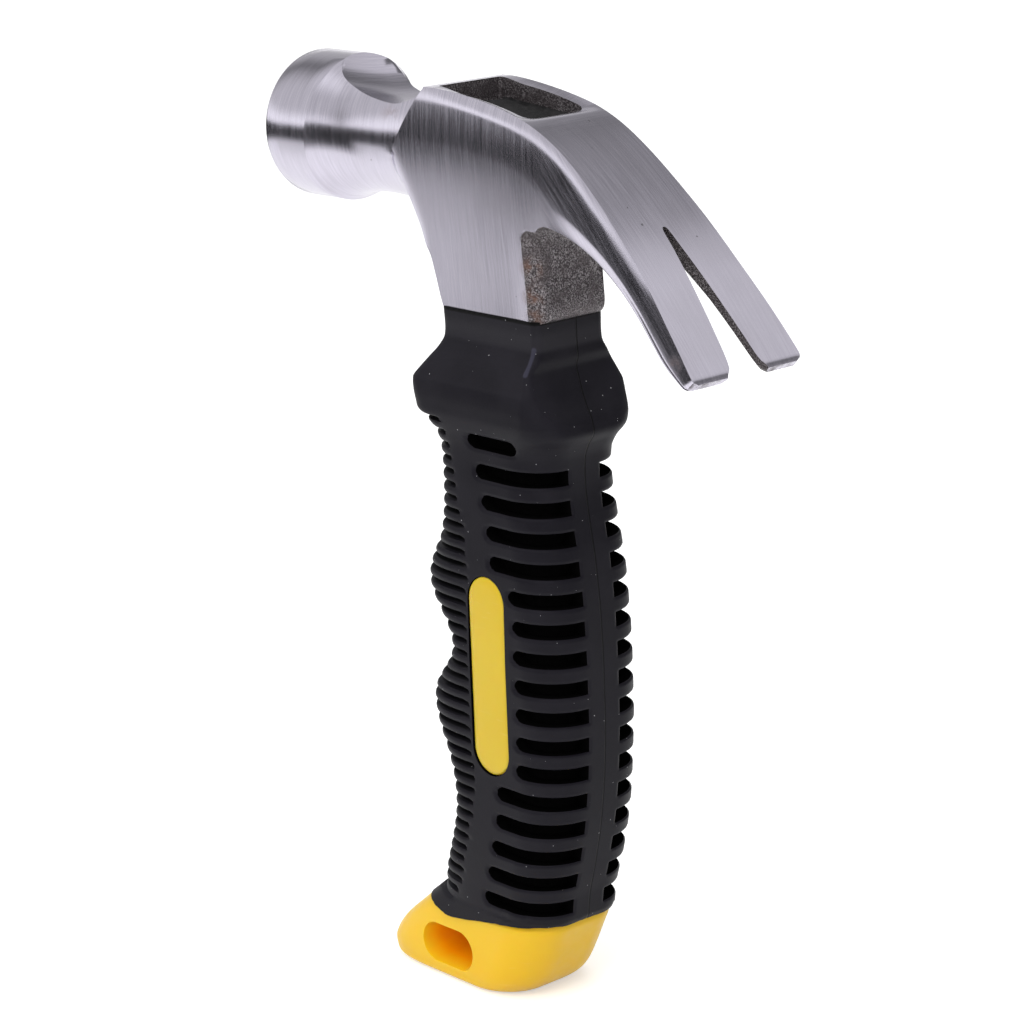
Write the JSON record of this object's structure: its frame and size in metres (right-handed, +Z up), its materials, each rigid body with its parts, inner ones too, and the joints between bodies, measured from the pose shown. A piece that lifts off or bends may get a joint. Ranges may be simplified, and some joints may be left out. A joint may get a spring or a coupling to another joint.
{
  "type": "claw hammer",
  "caption": "Stubby claw hammer with a brushed steel head, split curved claws, a moulded black rubber grip over a yellow plastic handle and a lanyard slot in its butt.",
  "frame": {"origin": "middle of the hammer's reach from striking face to claw tips, in its middle plane, on the lowest face of the butt", "axes": "+Z up along the handle to the head, +X from the striking face towards the claws, +Y to the right hand side of a user who holds the striking face forward"},
  "size_m": [0.0974, 0.024, 0.1517],
  "materials": {
    "head_steel": "ground and brushed, clear coated, rough dark forging skin in the eye, the nail notch and behind the socket",
    "resin": "rough black epoxy",
    "fibreglass": "raw pultruded fibreglass",
    "handle_plastic": "smooth, slightly translucent orange yellow",
    "grip_rubber": "satin moulded black",
    "inlay_plastic": "smooth lemon yellow"
  },
  "bodies": {
    "root": {"head": "head_steel", "eye_resin": "resin", "core_rod": "fibreglass", "inner_handle": "handle_plastic", "grip": "grip_rubber", "side_inlay_right": "inlay_plastic", "side_inlay_left": "inlay_plastic"}
  },
  "joints": []
}
